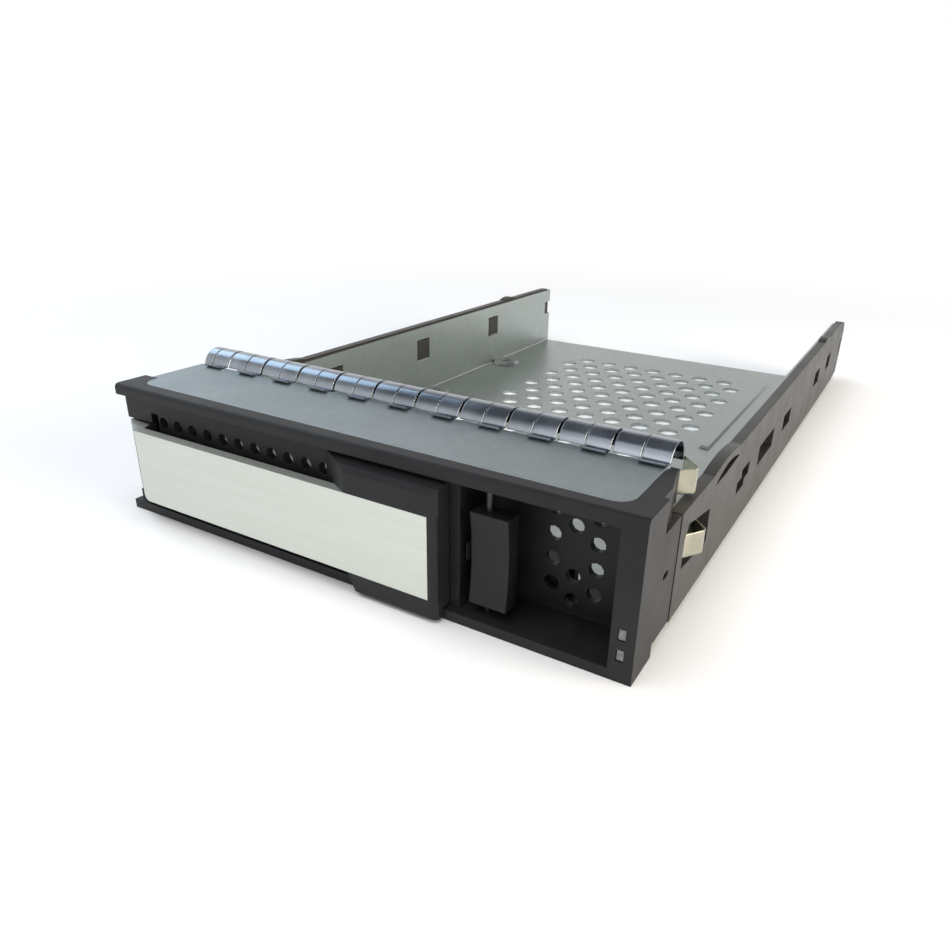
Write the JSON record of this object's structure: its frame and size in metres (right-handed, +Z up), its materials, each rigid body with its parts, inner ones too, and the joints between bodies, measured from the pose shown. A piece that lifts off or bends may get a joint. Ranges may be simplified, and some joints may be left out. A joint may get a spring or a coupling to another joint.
{
  "type": "hot swap drive caddy",
  "caption": "Hot swap drive caddy: perforated sheet-metal tray with plastic slide rails, vented bezel, hinged ejector lever, latch tab and spring-finger contact strip.",
  "frame": {"origin": "centre of the footprint on the underside of the tray, at mid-length", "axes": "+Y from the front bezel to the rear, +X to the right as seen from the front, +Z up"},
  "size_m": [0.1097, 0.1952, 0.029],
  "materials": {
    "black_plastic": "fine moulded texture",
    "galvanised": "zinc plated, satin",
    "spring_steel": "bright tin plated",
    "brushed_face": "brushed along its length",
    "clear_plastic": "frosted clear",
    "pin_steel": "ground",
    "screw_steel": "nickel plated"
  },
  "bodies": {
    "caddy": {"bezel_frame": "black_plastic", "shield_cover": "galvanised", "emi_gasket_top": "spring_steel", "emi_gasket_side_upper": "spring_steel", "emi_gasket_side_lower": "spring_steel", "tray_pan": "galvanised", "rail_left": "black_plastic", "rail_right": "black_plastic", "light_pipe_upper": "clear_plastic", "light_pipe_lower": "clear_plastic", "lever_pivot_pin": "pin_steel", "lever_spring": "spring_steel", "latch_pivot_pin": "pin_steel", "latch_spring": "spring_steel", "bezel_screw_left": "screw_steel", "bezel_screw_right": "screw_steel"},
    "lever": {"lever_body": "black_plastic", "lever_face_plate": "brushed_face"},
    "latch": {"latch_button": "black_plastic"}
  },
  "joints": [
    {"name": "lever_swing", "type": "hinge", "parent": "caddy", "child": "lever", "pos_m": [-0.0495, -0.0899, 0.0112], "axis": [0, 0, -1], "range_deg": [0, 60]},
    {"name": "latch_press", "type": "hinge", "parent": "caddy", "child": "latch", "pos_m": [0.0284, -0.0921, 0.0117], "axis": [0, 0, 1], "range_deg": [0, 12], "stiffness_Nm_per_rad": 0.002, "springref_deg": -5.73}
  ]
}
